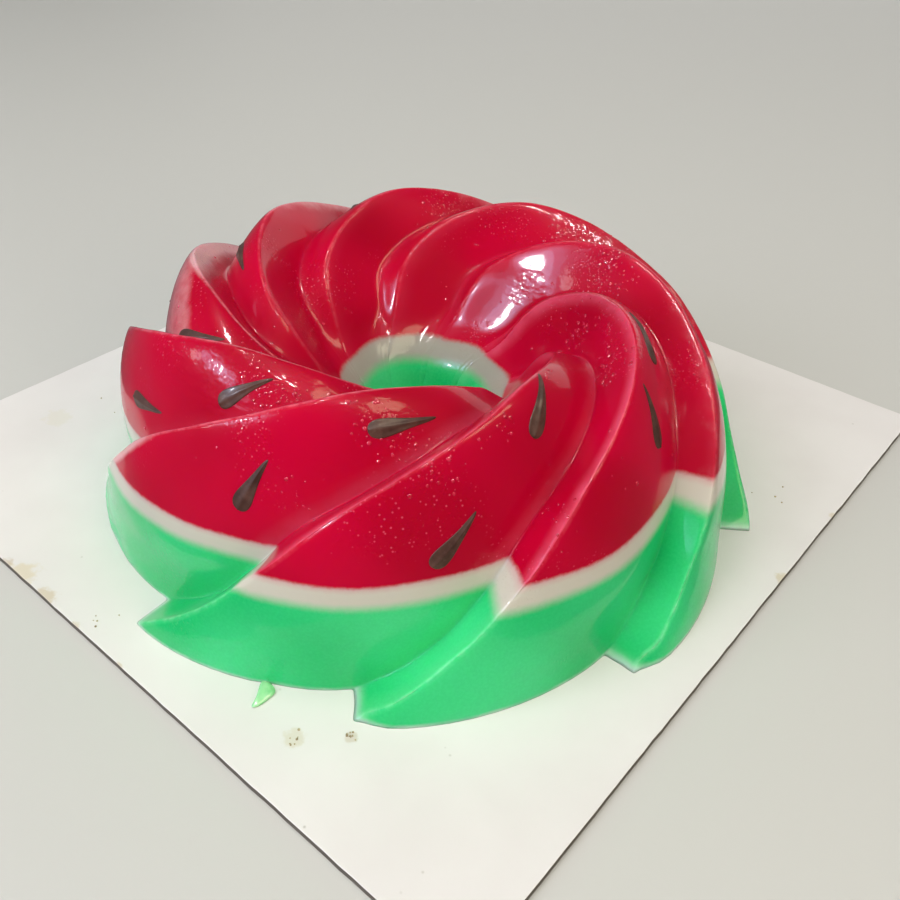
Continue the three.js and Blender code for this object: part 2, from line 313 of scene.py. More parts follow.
def ring_faces():
    """Quads of the swept surface, then of the flat base between its outer and inner feet."""
    around = BLADES * 2 * FACE_STEPS
    column = np.arange(around)
    beside = (column + 1) % around
    row = np.arange(ROWS)[:, None] * around
    swept = np.stack([row + column, row + beside, row + around + beside, row + around + column], -1)
    sweep = stations_at(180.0)[TURN_COLUMN] - stations_at(0.0)[TURN_COLUMN]
    shift = round(sweep / PITCH) * 2 * FACE_STEPS
    inner = ROWS * around + (column - shift) % around
    inner_beside = ROWS * around + (beside - shift) % around
    base = np.stack([beside, column, inner, inner_beside], -1)
    return np.concatenate([swept.reshape(-1, 4), base])


def new_object(name, vertices, faces, smooth=True):
    """A mesh object from points in millimetres."""
    mesh = bpy.data.meshes.new(name)
    faces = [list(map(int, face)) for face in faces]
    mesh.from_pydata((np.asarray(vertices) * MM).tolist(), [], faces)
    mesh.polygons.foreach_set("use_smooth", [smooth] * len(mesh.polygons))
    mesh.update()
    piece = bpy.data.objects.new(name, mesh)
    bpy.context.scene.collection.objects.link(piece)
    return piece


def ring_walls(rings, around, clockwise=False):
    """Quads that join each ring of points to the next and face outward.

    The rings run anticlockwise, seen from the last one, unless clockwise is set.
    """
    walls = []
    for ring in range(rings - 1):
        low = ring * around
        high = low + around
        for step in range(around):
            beside = (step + 1) % around
            others = [low + beside, high + beside, high + step]
            walls.append([low + step, *(others[::-1] if clockwise else others)])
    return walls


def vertex_normals(piece):
    normals = np.zeros(len(piece.data.vertices) * 3)
    piece.data.vertices.foreach_get("normal", normals)
    return normals.reshape(-1, 3)


def vertex_places(piece):
    places = np.zeros(len(piece.data.vertices) * 3)
    piece.data.vertices.foreach_get("co", places)
    return places.reshape(-1, 3) / MM


def set_places(piece, places):
    piece.data.vertices.foreach_set("co", (places * MM).ravel())
    piece.data.update()


def add_attribute(piece, name, values):
    layer = piece.data.attributes.new(name, "FLOAT", "POINT")
    layer.data.foreach_set("value", np.asarray(values, dtype=float))


def add_unevenness(piece, sharp):
    """Slow swells over the whole skin, and small nicks along the crests."""
    places = vertex_places(piece)
    clear = np.clip((places[:, 2] - BOARD_THICKNESS) / SWELL_CLEAR, 0, 1)
    move = swell(places, SWELL_LENGTH, waves=9, seed=7) * SWELL_HEIGHT
    move -= np.abs(swell(places, NICK_LENGTH, waves=14, seed=11)) * NICK_HEIGHT * sharp
    places += vertex_normals(piece) * (move * clear)[:, None]
    places[:, 2] = np.minimum(places[:, 2], JELLY_TOP)
    set_places(piece, places)


def add_dents(piece):
    """Pushes the skin in towards the ring's middle circle round each dent."""
    places = vertex_places(piece)
    for (x, y), height, size, depth in DENTS:
        spot = np.array([x, y, BOARD_THICKNESS + height])
        toward = RING_CENTRE - spot[:2]
        toward = np.append(toward / np.linalg.norm(toward), 0.0)
        share = np.exp(-np.sum((places - spot) ** 2, axis=1) / (size * size))
        places += share[:, None] * toward * depth
    set_places(piece, places)


def wetness(places):
    """How wet and rippled the skin is at each point, from 0 to 1."""
    ragged = 1 + 0.25 * swell(places, 6.0, waves=9, seed=17)
    wet = np.zeros(len(places))
    for spot, size in WET_SPOTS:
        distance = np.linalg.norm(places - np.array(spot), axis=1)
        wet = np.maximum(wet, 1 - smooth_step(distance * ragged, WET_CORE * size, size))
    return wet


def measure_thinness(piece):
    """How little jelly lies behind each point: near 1 at a sharp edge, near 0 over a thick body."""
    tree = BVHTree.FromPolygons(
        [vertex.co for vertex in piece.data.vertices],
        [polygon.vertices[:] for polygon in piece.data.polygons],
    )
    draw = np.random.default_rng(3)
    rays = draw.normal(size=(THIN_RAYS, 3))
    rays /= np.linalg.norm(rays, axis=1)[:, None]
    rays = [Vector(ray) for ray in rays]
    reach = 4 * THIN_DEPTH * MM
    thinness = []
    for vertex in piece.data.vertices:
        inward = -vertex.normal
        start = vertex.co + inward * THIN_START * MM
        total = 0.0
        for ray in rays:
            heading = (ray + inward * 1.02).normalized()
            distance = tree.ray_cast(start, heading, reach)[3]
            if distance is not None:
                total += math.exp(-distance / (THIN_DEPTH * MM))
        thinness.append(total / THIN_RAYS)
    return thinness


class Shader:
    """Builds one material's nodes, with each node's sockets set or linked by name."""

    def __init__(self, name):
        self.material = bpy.data.materials.new(name)
        self.material.use_nodes = True
        self.nodes = self.material.node_tree.nodes
        self.links = self.material.node_tree.links
        self.surface = self.nodes["Principled BSDF"]
        self.place = self.node("ShaderNodeTexCoord").outputs["Object"]

    def put(self, socket, value):
        if isinstance(value, bpy.types.NodeSocket):
            self.links.new(value, socket)
        else:
            socket.default_value = value

    def node(self, kind, inputs=None, **settings):
        node = self.nodes.new(kind)
        for key, value in settings.items():
            setattr(node, key, value)
        for key, value in (inputs or {}).items():
            self.put(node.inputs[key], value)
        return node

    def set(self, **values):
        for key, value in values.items():
            self.put(self.surface.inputs[key.replace("_", " ")], value)

    def attribute(self, name):
        return self.node("ShaderNodeAttribute", attribute_name=name).outputs["Fac"]

    def height(self):
        return self.node("ShaderNodeSeparateXYZ", {"Vector": self.place}).outputs["Z"]

    def noise(self, size, detail=3.0, roughness=0.5):
        """Soft noise whose features are about as wide as size, in millimetres."""
        inputs = {"Vector": self.place, "Scale": 1 / (size * MM)}
        inputs |= {"Detail": detail, "Roughness": roughness}
        return self.node("ShaderNodeTexNoise", inputs).outputs["Fac"]

    def stray(self, size, detail=3.0, roughness=0.5):
        """The same noise about zero, from -0.5 to 0.5."""
        return self.maths("SUBTRACT", self.noise(size, detail, roughness), 0.5)

    def cells(self, size):
        """Distance to the nearest of scattered points, in shares of the size between them."""
        inputs = {"Vector": self.place, "Scale": 1 / (size * MM)}
        return self.node("ShaderNodeTexVoronoi", inputs, feature="F1").outputs["Distance"]

    def ramp(self, value, low, high, out_low=0.0, out_high=1.0):
        """Eases from out_low to out_high as a value goes from low to high."""
        inputs = {"Value": value, "From Min": low, "From Max": high}
        inputs |= {"To Min": out_low, "To Max": out_high}
        node = self.node("ShaderNodeMapRange", inputs, interpolation_type="SMOOTHSTEP")
        return node.outputs["Result"]

    def maths(self, operation, first, second):
        node = self.node("ShaderNodeMath", operation=operation)
        self.put(node.inputs[0], first)
        self.put(node.inputs[1], second)
        return node.outputs[0]

    def times(self, *values):
        total = values[0]
        for value in values[1:]:
            total = self.maths("MULTIPLY", total, value)
        return total

    def plus(self, *values):
        total = values[0]
        for value in values[1:]:
            total = self.maths("ADD", total, value)
        return total

    def mix(self, share, first, second):
        """A share of the second colour in the first; a Mix node's colours are sockets 6 and 7."""
        node = self.node("ShaderNodeMix", data_type="RGBA")
        self.put(node.inputs[0], share)
        self.put(node.inputs[6], first)
        self.put(node.inputs[7], second)
        return node.outputs[2]

    def bump(self, height, distance, strength=1.0, normal=None):
        inputs = {"Height": height, "Distance": distance * MM, "Strength": strength}
        node = self.node("ShaderNodeBump", inputs)
        if normal is not None:
            self.put(node.inputs["Normal"], normal)
        return node.outputs["Normal"]

    def near(self, spot, size, ragged):
        """1 at a spot, 0 beyond size millimetres from it; ragged moves its outline, in sizes."""
        gap = self.node("ShaderNodeVectorMath", operation="DISTANCE")
        self.put(gap.inputs[0], self.place)
        self.put(gap.inputs[1], tuple(value * MM for value in spot))
        distance = self.plus(gap.outputs["Value"], self.times(ragged, size * MM))
        return self.ramp(distance, size * MM, size * 0.55 * MM)


def srgb(red, green, blue):
    """A colour given as screen values from 0 to 255, in linear light."""
    def linear(value):
        value /= 255
        return value / 12.92 if value <= 0.04045 else ((value + 0.055) / 1.055) ** 2.4

    return (linear(red), linear(green), linear(blue), 1.0)


RED_DEEP = srgb(178, 0, 40)
RED_BRIGHT = srgb(198, 0, 52)
# painted reflection colour of the strips beside crests and valleys
RED_REFLECTION = srgb(222, 84, 116)
# painted highlight colour of the line along the crests
RED_HIGHLIGHT = srgb(238, 120, 140)
# pale skin colour: a thin skin with painted sheen
RED_SKIN_AND_SHEEN = srgb(232, 176, 182)
RED_BUBBLE = srgb(232, 96, 128)
WHITE_COLOUR = srgb(206, 202, 192)
WHITE_THIN = srgb(196, 202, 196)
# painted shade: the white greyer down in the hole
WHITE_HOLE_SHADE = srgb(150, 152, 142)
PINK_TINGE = srgb(206, 150, 158)
GREEN_DEEP = srgb(18, 190, 108)
GREEN_BRIGHT = srgb(68, 220, 144)
# painted reflection colour of the green's strips beside crests and valleys
GREEN_REFLECTION = srgb(134, 224, 164)
GREEN_THIN = srgb(170, 226, 190)
# painted highlight of the green: its line along the crests, and its glow at the foot
GREEN_HIGHLIGHT = srgb(186, 240, 206)

GREEN_RISE = 0.9  # how far the green shows up through the foot of the white
WHITE_FADE = 2.4  # height of the painted glow along the green's foot on the board
RED_FADE = 0.8  # half the height over which the red ends in the white
RED_WAVER = 0.5  # how far the red's edge strays into the white
WANDER_HEIGHT = 0.35  # how far the layers' tops rise and fall round the ring
PINK_DEPTH = 2.4  # how far the red tinges the white under it
RED_DROP = 0.8  # how much lower the layers' tops lie in the hole than outside
GREEN_DROP = 0.3  # the same for the green
FOOT_GLOW_HEIGHT = 1.9  # pale edge of the green on the board
REFLECTION_FROM = 50.0  # height where the painted reflections along the crests are at full strength


def layer_colours(shade):
    """Jelly colours by height, each paler in thin skins, with painted light on them: sheen on the
    outer skins, reflections in strips beside crests and valleys, a highlight line along the
    crests, a glow at the green's foot, and shade on the white in the hole.
    """
    thin = shade.attribute("thin")
    skin = shade.attribute("skin")
    hole = shade.attribute("hole")
    height = shade.height()
    waver = shade.stray(2.0, 4.0, 0.65)
    level = shade.plus(height, shade.times(shade.attribute("wander"), WANDER_HEIGHT * MM))
    green_level = shade.plus(level, shade.times(waver, MM), shade.times(hole, GREEN_DROP * MM))
    red_level = shade.plus(level, shade.times(waver, 2 * RED_WAVER * MM))
    red_level = shade.plus(red_level, shade.times(hole, RED_DROP * MM))

    # painted reflection: pale strips beside crests and valleys, stronger higher up, broken into
    # streaks
    high = shade.ramp(height, 30 * MM, REFLECTION_FROM * MM, 0.25, 1.0)
    streaks = shade.ramp(shade.noise(9.0, 3.0), 0.3, 0.7, 0.6, 1.0)
    reflections = shade.times(shade.attribute("painted_reflection"), high, streaks)
    ragged = shade.plus(skin, shade.times(shade.stray(5.0), 0.3))

    cloud = shade.attribute("cloud")
    specks = shade.ramp(shade.noise(0.9, 2.0), 0.3, 0.75)
    red = shade.mix(cloud, RED_DEEP, RED_BRIGHT)
    red = shade.mix(reflections, red, RED_REFLECTION)
    # painted highlight line along the crests, broken up, and left out in the hole
    broken = shade.ramp(shade.noise(3.0, 3.0), 0.35, 0.65, 0.2, 0.9)
    edges = shade.times(shade.attribute("edge"), shade.maths("SUBTRACT", 1.0, hole), broken)
    red = shade.mix(edges, red, RED_HIGHLIGHT)
    # pale skin: partly a thin skin, partly painted sheen
    red = shade.mix(shade.ramp(ragged, 0.15, 0.7, 0, 0.92), red, RED_SKIN_AND_SHEEN)
    dots = shade.ramp(shade.cells(1.7), 0.24, 0.12)
    dots = shade.times(dots, shade.attribute("pimples"), 0.45)
    red = shade.mix(dots, red, RED_BUBBLE)

    milky = shade.plus(shade.times(cloud, 0.85), shade.times(specks, 0.15))
    green = shade.mix(milky, GREEN_DEEP, GREEN_BRIGHT)
    # painted reflection strips and painted highlight line on the green as well
    green = shade.mix(shade.times(reflections, 0.9), green, GREEN_REFLECTION)
    green = shade.mix(shade.ramp(thin, 0.3, 0.8, 0, 0.7), green, GREEN_THIN)
    green = shade.mix(edges, green, GREEN_HIGHLIGHT)
    # painted glow along the green's foot on the board, patchy
    foot_glow = shade.ramp(height, (BOARD_THICKNESS + FOOT_GLOW_HEIGHT) * MM, (BOARD_THICKNESS + 0.3) * MM)
    foot_glow = shade.times(foot_glow, shade.ramp(shade.noise(8.0), 0.35, 0.65, 0.3, 0.8))
    green = shade.mix(foot_glow, green, GREEN_HIGHLIGHT)

    tinge = shade.ramp(red_level, (WHITE_TOP - PINK_DEPTH) * MM, WHITE_TOP * MM, 0, 0.55)
    white = shade.mix(shade.ramp(thin, 0.3, 0.8, 0, 0.7), WHITE_COLOUR, WHITE_THIN)
    white = shade.mix(tinge, white, PINK_TINGE)
    # painted shade: the white greyer down in the hole
    white = shade.mix(shade.times(hole, 0.8), white, WHITE_HOLE_SHADE)

    middle = GREEN_TOP + GREEN_RISE
    white_in = shade.ramp(green_level, (middle - WHITE_FADE) * MM, (middle + WHITE_FADE) * MM)
    red_in = shade.ramp(red_level, (WHITE_TOP - RED_FADE) * MM, (WHITE_TOP + RED_FADE) * MM)
    colour = shade.mix(white_in, green, white)
    return shade.mix(red_in, colour, red)


def jelly_material(name, scatter, radius):
    """Set jelly under a wet skin, with fine pimples in patches where tiny bubbles burst."""
    shade = Shader(name)
    domes = shade.ramp(shade.cells(1.3), 0.45, 0.1)
    skin = shade.bump(shade.times(domes, shade.attribute("pimples")), 0.12, 0.6)
    skin = shade.bump(shade.noise(7.0, 2.0), 0.5, 0.12, skin)
    ripples = shade.times(shade.attribute("wet"), shade.noise(2.4, 1.0))
    skin = shade.bump(ripples, 0.2, 0.9, skin)
    roughness = shade.ramp(shade.noise(18.0, 2.0), 0.3, 0.7, 0.28, 0.38)
    shade.set(Base_Color=layer_colours(shade), Roughness=roughness, Normal=skin, IOR=1.36)
    shade.set(Specular_IOR_Level=0.1)
    shade.set(Subsurface_Weight=scatter, Subsurface_Radius=radius, Subsurface_Scale=1.0)
    shade.set(Coat_Weight=0.8, Coat_Roughness=0.06, Coat_IOR=1.25, Coat_Normal=skin)
    return shade.material


def make_jelly():
    """The ring in one mesh, a finish for each layer, so that light passes between them."""
    worked = zip(*[rounded_row(180.0 * row / ROWS) for row in range(ROWS + 1)])
    rows, sharp, edge, painted_reflection, skin, hole = [np.concatenate(values) for values in worked]
    around = BLADES * 2 * FACE_STEPS
    rows[:around, 2] = BOARD_THICKNESS
    rows[-around:, 2] = BOARD_THICKNESS
    piece = new_object("jelly_ring", rows, ring_faces())
    add_unevenness(piece, sharp)
    add_dents(piece)
    places = vertex_places(piece)
    shares = {
        "wet": wetness(places),
        "pimples": smooth_step(swell(places, 40.0, waves=9, seed=29), 0.3, 1.0),
        "wander": swell(places, 40.0, waves=9, seed=31),
        "cloud": smooth_step(swell(places, 48.0, waves=12, seed=37), -1.4, 1.4),
        "thin": measure_thinness(piece),
        "painted_reflection": painted_reflection,
        "skin": skin,
        "edge": edge,
        "hole": hole,
    }
    for name, values in shares.items():
        add_attribute(piece, name, values)
    finishes = [
        jelly_material("jelly_red", 0.5, (5.0 * MM, 0.5 * MM, 1.0 * MM)),
        jelly_material("jelly_white", 0.6, (4.0 * MM, 4.0 * MM, 3.5 * MM)),
        jelly_material("jelly_green", 0.6, (1.5 * MM, 5.0 * MM, 2.4 * MM)),
    ]
    for finish in finishes:
        piece.data.materials.append(finish)
    middles = np.zeros(len(piece.data.polygons) * 3)
    piece.data.polygons.foreach_get("center", middles)
    level = middles.reshape(-1, 3)[:, 2] / MM
    kinds = np.where(level > WHITE_TOP, 0, np.where(level > GREEN_TOP, 1, 2))
    piece.data.polygons.foreach_set("material_index", kinds.astype(int).tolist())
    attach(piece, "root")
    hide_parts("jelly_red", "jelly_white", "jelly_green")
    return piece


def surface_frame(blade, up, across, heading=0.0):
    """A place on the jelly's face, with its directions ahead, left and outward."""
    def point(share, place):
        return jelly_points(blade, np.array([share]), place)[0]

    ahead = point(across, up + 0.5) - point(across, up - 0.5)
    ahead /= np.linalg.norm(ahead)
    outward = np.cross(point(across + 0.01, up) - point(across - 0.01, up), ahead)
    outward /= np.linalg.norm(outward)
    right = np.cross(ahead, outward)
    turn = math.radians(heading)
    front = ahead * math.cos(turn) + right * math.sin(turn)
    return point(across, up), front, np.cross(outward, front), outward


SKIN_SEARCH = 6.0  # how far above and below the plain surface the shown skin is looked for


def on_skin(tree, ground, outward):
    """The point of the shown skin above or below a point of the plain surface, and its normal."""
    start = Vector((ground + outward * SKIN_SEARCH) * MM)
    place, normal = tree.ray_cast(start, Vector(-outward), 2 * SKIN_SEARCH * MM)[:2]
    if place is None:
        return None, None
    return np.array(place) / MM, np.array(normal)


# Chocolate seeds, as in the solids: blade, place up the section, share across, heading, length
SEEDS = [
    (0, 64.0, 0.50, -11, 19.8),
    (0, 86.6, 0.21, -30, 21.5),
    (1, 74.3, 0.29, -53, 20.6),
    (1, 86.0, 0.19, -20, 21.0),
    (2, 67.0, 0.46, -22, 19.5),
    (2, 88.5, 0.33, -12, 20.5),
    (3, 69.0, 0.52, -35, 19.5),
    (3, 86.0, 0.36, 4, 20.0),
    (4, 66.0, 0.44, -8, 20.0),
    (4, 89.0, 0.30, -26, 19.5),
    (5, 70.5, 0.50, -30, 19.5),
    (5, 92.0, 0.35, -10, 20.0),
    (6, 72.0, 0.50, -4, 19.5),
    (6, 90.0, 0.50, -25, 20.0),
    (7, 69.3, 0.55, 14, 19.5),
    (7, 88.1, 0.41, -28, 18.5),
    (8, 70.0, 0.46, -39, 18.6),
    (8, 88.9, 0.36, 6, 21.0),
]
SEED_WIDTH = 5.8
SEED_POINTEDNESS = 5.0
SEED_TAIL = 0.2
SEED_PROUD = 0.7
SEED_RIDGE = 0.5  # share of that height which a seed's middle ridge takes
RIDGE_WIDTH = 0.5  # share of the seed's width that the ridge takes
SEED_DEPTH = 2.0
SEED_BLUNTNESS = 0.6  # power of its dome: lower is blunter
SEED_FULL = 1.2  # half-width from which a seed has its full thickness
SEED_BEND = 0.6  # how far a seed may bow to either side, and how its width varies
SEED_PLUMPNESS = (0.94, 1.04)
SEED_SPAN = (0.03, 0.98)  # from its point to its blunt end, in shares of a half turn
SEED_RINGS = 36
SEED_SIDES = 32


def seed_girth(angle):
    """Half-width of a teardrop at an angle round it from its point, not yet scaled."""
    swelling = math.sin(angle / 2) ** SEED_POINTEDNESS
    return math.sin(angle) * (SEED_TAIL + (1 - SEED_TAIL) * swelling)


def make_seed(number, tree, finish):
    """A seed that follows the jelly's face, a little proud of it, faintly ridged in the middle."""
    blade, up, across, heading, length = SEEDS[number]
    middle, front, left, outward = surface_frame(blade, up, across, heading)
    draw = random.Random(100 + number)
    bend = draw.uniform(-SEED_BEND, SEED_BEND)
    plump = draw.uniform(*SEED_PLUMPNESS)
    angles = math.pi * np.linspace(*SEED_SPAN, SEED_RINGS + 1)
    widest = max(seed_girth(angle) for angle in angles)
    vertices = []
    for angle in angles:
        along = length / 2 * math.cos(angle)
        half = plump * SEED_WIDTH / 2 * seed_girth(angle) / widest
        for side in range(SEED_SIDES):
            turn = 2 * math.pi * side / SEED_SIDES
            sideways = bend * math.sin(angle) + half * math.cos(turn)
            ground = middle + front * along + left * sideways
            found = on_skin(tree, ground, outward)[0]
            base = ground if found is None else found
            full = min(1.0, half / SEED_FULL)
            if math.sin(turn) > 0:
                dome = math.sin(turn) ** SEED_BLUNTNESS
                ridge = max(0.0, 1 - abs(math.cos(turn)) / RIDGE_WIDTH)
                rise = SEED_PROUD * full * (dome * (1 - SEED_RIDGE) + ridge * SEED_RIDGE)
            else:
                rise = -SEED_DEPTH * full * (-math.sin(turn)) ** SEED_BLUNTNESS
            vertices.append(base + outward * rise)
    faces = ring_walls(SEED_RINGS + 1, SEED_SIDES, clockwise=True)
    tip = len(vertices)
    last = tip - SEED_SIDES
    vertices += [np.mean(vertices[:SEED_SIDES], axis=0), np.mean(vertices[last:], axis=0)]
    for side in range(SEED_SIDES):
        beside = (side + 1) % SEED_SIDES
        faces.append((tip, side, beside))
        faces.append((tip + 1, last + beside, last + side))
    piece = new_object(f"choc_seed_{number + 1:02d}", vertices, faces)
    piece.data.materials.append(finish)
    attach(piece, "root")
    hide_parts(f"seed_{number + 1:02d}")


def chocolate_material():
    """Dark chocolate, smooth with a faint bloom."""
    shade = Shader("chocolate")
    mottle = shade.ramp(shade.noise(5.0, 4.0), 0.3, 0.7)
    bloom = shade.ramp(shade.noise(1.6, 3.0), 0.55, 0.8)
    colour = shade.mix(mottle, srgb(64, 37, 31), srgb(92, 62, 54))
    colour = shade.mix(shade.times(bloom, 0.35), colour, srgb(112, 88, 78))
    skin = shade.bump(shade.noise(1.4, 3.0), 0.12, 0.35)
    roughness = shade.ramp(shade.noise(4.0), 0.3, 0.7, 0.45, 0.6)
    shade.set(Base_Color=colour, Roughness=roughness, Normal=skin, Specular_IOR_Level=0.25)
    shade.set(Coat_Weight=0.25, Coat_Roughness=0.1, Coat_IOR=1.3)
    return shade.material


# Patches of tiny droplets: blade, place up the section, share across, radius, and how many
DROPLET_PATCHES = [
    (1, 94, 0.83, 9, 90),
    (1, 90, 0.90, 12, 120),
    (2, 80, 0.91, 12, 90),
    (2, 89, 0.73, 9, 30),
    (0, 105, 0.62, 10, 90),
    (0, 92, 0.62, 11, 110),
    (0, 94, 0.03, 5, 24),
    (8, 88, 0.25, 8, 80),
    (8, 86, 0.48, 8, 70),
    (8, 71, 0.62, 9, 24),
    (0, 77, 0.03, 8, 50),
    (0, 84, 0.03, 7, 40),
    (7, 90, 0.44, 7, 60),
    (7, 94, 0.43, 7, 60),
    (7, 93, 0.18, 6, 30),
    (6, 97, 0.28, 6, 20),
    (0, 64, 0.94, 10, 40),
    (3, 88, 0.7, 12, 70),
    (4, 76, 0.5, 12, 60),
    (5, 84, 0.6, 10, 60),
]
LONE_DROPLETS = 420
DROPLET_SIDES = 8
DROPLET_RINGS = 3
DROPLET_SINK = 0.06  # how deep a droplet's foot lies in the skin
DROPLET_LEAST = 0.17  # least and greatest radius, and the mean of what is added to the least
DROPLET_MOST = 0.75
DROPLET_SPREAD = 0.16
DROPLET_CLEAR = 3.0  # how far above the white the droplets start


def droplet_mesh(place, normal, radius, height):
    """A low dome that sits on the skin."""
    side = np.cross(normal, [0.31, 0.17, 0.93])
    side /= np.linalg.norm(side)
    other = np.cross(normal, side)
    vertices = []
    for ring in range(DROPLET_RINGS):
        angle = math.pi / 2 * ring / DROPLET_RINGS
        for step in range(DROPLET_SIDES):
            turn = 2 * math.pi * step / DROPLET_SIDES
            aside = side * math.cos(turn) + other * math.sin(turn)
            lift = height * math.sin(angle) - DROPLET_SINK
            vertices.append(place + aside * radius * math.cos(angle) + normal * lift)
    vertices.append(place + normal * (height - DROPLET_SINK))
    faces = [list(range(DROPLET_SIDES))[::-1]] + ring_walls(DROPLET_RINGS, DROPLET_SIDES)
    top = (DROPLET_RINGS - 1) * DROPLET_SIDES
    peak = top + DROPLET_SIDES
    for step in range(DROPLET_SIDES):
        faces.append([top + step, top + (step + 1) % DROPLET_SIDES, peak])
    return vertices, faces


def droplet_places(draw):
    """Seeded places on the mould for the droplets: in their patches, then here and there."""
    for blade, up, across, radius, count in DROPLET_PATCHES:
        for _ in range(count):
            yield blade, up, across, draw.gauss(0, radius / 2), draw.gauss(0, radius / 2)
    for _ in range(LONE_DROPLETS):
        yield draw.randrange(BLADES), draw.uniform(45, 125), draw.uniform(0.02, 0.98), 0.0, 0.0


def make_droplets(tree):
    """Droplets and burst bubbles on the red skin, joined in one mesh."""
    draw = random.Random(21)
    vertices = []
    faces = []
    for blade, up, across, along, sideways in droplet_places(draw):
        radius = min(DROPLET_MOST, DROPLET_LEAST + draw.expovariate(1 / DROPLET_SPREAD))
        middle, front, left, outward = surface_frame(blade, up, across)
        height = radius * draw.uniform(0.3, 0.6)
        place, normal = on_skin(tree, middle + front * along + left * sideways, outward)
        if place is None or place[2] < WHITE_TOP + DROPLET_CLEAR or place[2] + height > JELLY_TOP:
            continue
        more, corners = droplet_mesh(place, normal, radius, height)
        faces += [[corner + len(vertices) for corner in face] for face in corners]
        vertices += more
    piece = new_object("droplets", vertices, faces)
    shade = Shader("droplet_skin")
    tone = shade.ramp(shade.noise(6.0, 3.0), 0.3, 0.7)
    colour = shade.mix(tone, srgb(190, 6, 46), srgb(214, 44, 78))
    shade.set(Base_Color=colour, Roughness=0.12, IOR=1.36)
    shade.set(Coat_Weight=1.0, Coat_Roughness=0.03, Normal=shade.bump(shade.noise(0.5), 0.05, 0.3))
    piece.data.materials.append(shade.material)
    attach(piece, "root")


# Cake board: rounding of its edges, fraying along them, and steps round an edge and a corner
# and along a side
BOARD_EDGE = 0.35
BOARD_FRAY = 0.22
EDGE_STEPS = 3
CORNER_STEPS = 5
SIDE_STEPS = 60
BOARD_TOP = BOARD_THICKNESS

# Scrap of jelly beside a blade, as an outline on the board, and its greatest height
SCRAP = [
    (48.7, -124.1), (50.9, -123.2), (56.5, -124.1), (56.6, -126.9),
    (56.6, -132.2), (54.7, -134.4), (53.6, -130.5), (51.3, -127.8),
]
SCRAP_HEIGHT = 1.3
SCRAP_LEVELS = ((1.0, 0.0), (0.96, 0.45), (0.7, 0.85), (0.35, 1.0))  # share of outline, of height

# Crumbs on the board: middle of each loose ring of crumbs, its radius, and how many
CRUMBS = [
    ((84, -121), 1.6, 9),
    ((72, -132), 3.2, 7),
    ((-8, -143), 6, 5),
    ((128, 60), 8, 4),
    ((-110, -60), 14, 4),
]
CRUMB_SIDES = 5
CRUMB_LEVELS = ((0.0, 0.8), (0.45, 1.0), (0.9, 0.55))  # height and spread, in shares of its size

# Stains on the board: place, size, colour and strength
STAINS = [
    ((72, -132), 4.0, srgb(212, 202, 176), 0.45),
    ((84, -121), 2.4, srgb(190, 172, 138), 0.4),
    ((-47, -151), 8.0, srgb(214, 196, 150), 0.45),
    ((-31, -151), 6.0, srgb(196, 170, 118), 0.45),
    ((-56, -151), 4.0, srgb(178, 148, 98), 0.4),
    ((-12, -151), 3.0, srgb(196, 172, 124), 0.45),
    ((12, -151), 2.6, srgb(190, 164, 112), 0.45),
    ((151, 22), 4.0, srgb(206, 188, 144), 0.5),
    ((151, 66), 3.0, srgb(204, 186, 142), 0.45),
    ((-120, -92), 7.0, srgb(226, 221, 206), 0.4),
    ((-128, 118), 8.0, srgb(222, 214, 196), 0.4),
]


def board_outline(inset):
    """The board's outline, its corners rounded, with points enough along each side to fray it."""
    half = BOARD_SIDE / 2 - BOARD_CORNER
    radius = BOARD_CORNER - inset
    points = []
    middles = [(half, half), (-half, half), (-half, -half), (half, -half)]
    ways = [(-1, 0), (0, -1), (1, 0), (0, 1)]
    for corner, ((x, y), way) in enumerate(zip(middles, ways)):
        for step in range(CORNER_STEPS + 1):
            angle = math.pi / 2 * (corner + step / CORNER_STEPS)
            points.append((x + radius * math.cos(angle), y + radius * math.sin(angle)))
        start = points[-1]
        for step in range(1, SIDE_STEPS):
            along = step / SIDE_STEPS * 2 * half
            points.append((start[0] + way[0] * along, start[1] + way[1] * along))
    return points


def make_board():
    """Card board with softly rounded and slightly frayed edges."""
    levels = []
    for step in range(EDGE_STEPS + 1):
        angle = math.pi / 2 * step / EDGE_STEPS
        levels.append((BOARD_EDGE * (1 - math.sin(angle)), BOARD_EDGE * (1 - math.cos(angle))))
    levels += [(inset, BOARD_THICKNESS - height) for inset, height in reversed(levels)]
    draw = random.Random(5)
    fray = [draw.uniform(0, BOARD_FRAY) for _ in board_outline(0)]
    vertices = []
    for inset, height in levels:
        for (x, y), worn in zip(board_outline(inset), fray):
            shrink = 1 - worn / (BOARD_SIDE / 2)
            vertices.append((x * shrink, y * shrink, height))
    around = len(fray)
    faces = ring_walls(len(levels), around)
    faces.append(list(range(around))[::-1])
    faces.append(list(range((len(levels) - 1) * around, len(levels) * around)))
    piece = new_object("board", vertices, faces, smooth=False)
    piece.data.materials.append(board_material())
    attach(piece, "root")
    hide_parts("cake_board")


